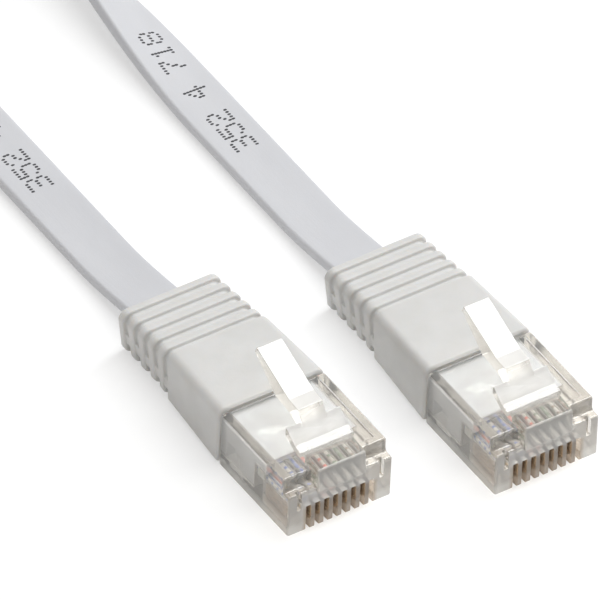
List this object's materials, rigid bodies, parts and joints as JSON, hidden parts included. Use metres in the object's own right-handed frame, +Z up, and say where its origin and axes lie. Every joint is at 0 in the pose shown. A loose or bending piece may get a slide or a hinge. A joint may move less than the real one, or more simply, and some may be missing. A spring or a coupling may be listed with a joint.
{
  "type": "ethernet patch cable",
  "caption": "Flat ethernet patch cable lying in a U, with a clear modular plug, a springy latch and a ribbed strain relief boot at each end.",
  "frame": {"origin": "bottom centre of the whole cable's box, on the plane of the table it lies on", "axes": "+Z up, with the latches up; both plug noses point along -Y and the cable's loop is at +Y; plug a is at -X, plug b at +X"},
  "size_m": [0.032, 0.123, 0.0121],
  "materials": {
    "clear_plastic": "clear polycarbonate, moulded, slightly smoky at its edges",
    "boot_plastic": "soft light grey PVC, satin",
    "mould_plastic": "white moulded plastic",
    "bar_plastic": "milky moulded plastic",
    "jacket_plastic": "cool light grey PVC jacket, satin, with dark dot-matrix digits",
    "contact_gold": "gold plated phosphor bronze",
    "core_copper": "bare copper",
    "insulation_1": "thin coloured wire insulation",
    "insulation_2": "thin coloured wire insulation",
    "insulation_3": "thin coloured wire insulation",
    "insulation_4": "thin coloured wire insulation",
    "insulation_5": "thin coloured wire insulation",
    "insulation_6": "thin coloured wire insulation",
    "insulation_7": "thin coloured wire insulation",
    "insulation_8": "thin coloured wire insulation"
  },
  "bodies": {
    "cable": {"cable_jacket": "jacket_plastic", "wire_1": "insulation_1", "wire_2": "insulation_2", "wire_3": "insulation_3", "wire_4": "insulation_4", "wire_5": "insulation_5", "wire_6": "insulation_6", "wire_7": "insulation_7", "wire_8": "insulation_8", "core_1": "core_copper", "core_2": "core_copper", "core_3": "core_copper", "core_4": "core_copper", "core_5": "core_copper", "core_6": "core_copper", "core_7": "core_copper", "core_8": "core_copper"},
    "plug_a": {"plug_housing_a": "clear_plastic", "contact_a1": "contact_gold", "contact_a2": "contact_gold", "contact_a3": "contact_gold", "contact_a4": "contact_gold", "contact_a5": "contact_gold", "contact_a6": "contact_gold", "contact_a7": "contact_gold", "contact_a8": "contact_gold", "load_bar_a": "bar_plastic", "inner_mould_a": "mould_plastic", "boot_a": "boot_plastic"},
    "latch_a": {"latch_a": "clear_plastic"},
    "plug_b": {"plug_housing_b": "clear_plastic", "contact_b1": "contact_gold", "contact_b2": "contact_gold", "contact_b3": "contact_gold", "contact_b4": "contact_gold", "contact_b5": "contact_gold", "contact_b6": "contact_gold", "contact_b7": "contact_gold", "contact_b8": "contact_gold", "load_bar_b": "bar_plastic", "inner_mould_b": "mould_plastic", "boot_b": "boot_plastic"},
    "latch_b": {"latch_b": "clear_plastic"}
  },
  "joints": [
    {"name": "flex_a", "type": "hinge", "parent": "cable", "child": "plug_a", "pos_m": [-0.01, -0.00994, 0.0009], "axis": [-1, 0, 0], "range_deg": [0, 45], "stiffness_Nm_per_rad": 0.002, "deforming": ["cable_jacket", "wire_1", "wire_2", "wire_3", "wire_4", "wire_5", "wire_6", "wire_7", "wire_8", "core_1", "core_2", "core_3", "core_4", "core_5", "core_6", "core_7", "core_8"]},
    {"name": "latch_a_press", "type": "hinge", "parent": "plug_a", "child": "latch_a", "pos_m": [-0.01, -0.05319, 0.0071], "axis": [-1, 0, 0], "range_deg": [0, 15], "stiffness_Nm_per_rad": 0.0003},
    {"name": "flex_b", "type": "hinge", "parent": "cable", "child": "plug_b", "pos_m": [0.01, -0.01514, 0.0009], "axis": [-1, 0, 0], "range_deg": [0, 45], "stiffness_Nm_per_rad": 0.002, "deforming": ["cable_jacket", "wire_1", "wire_2", "wire_3", "wire_4", "wire_5", "wire_6", "wire_7", "wire_8", "core_1", "core_2", "core_3", "core_4", "core_5", "core_6", "core_7", "core_8"]},
    {"name": "latch_b_press", "type": "hinge", "parent": "plug_b", "child": "latch_b", "pos_m": [0.01, -0.05839, 0.0071], "axis": [-1, 0, 0], "range_deg": [0, 15], "stiffness_Nm_per_rad": 0.0003}
  ]
}
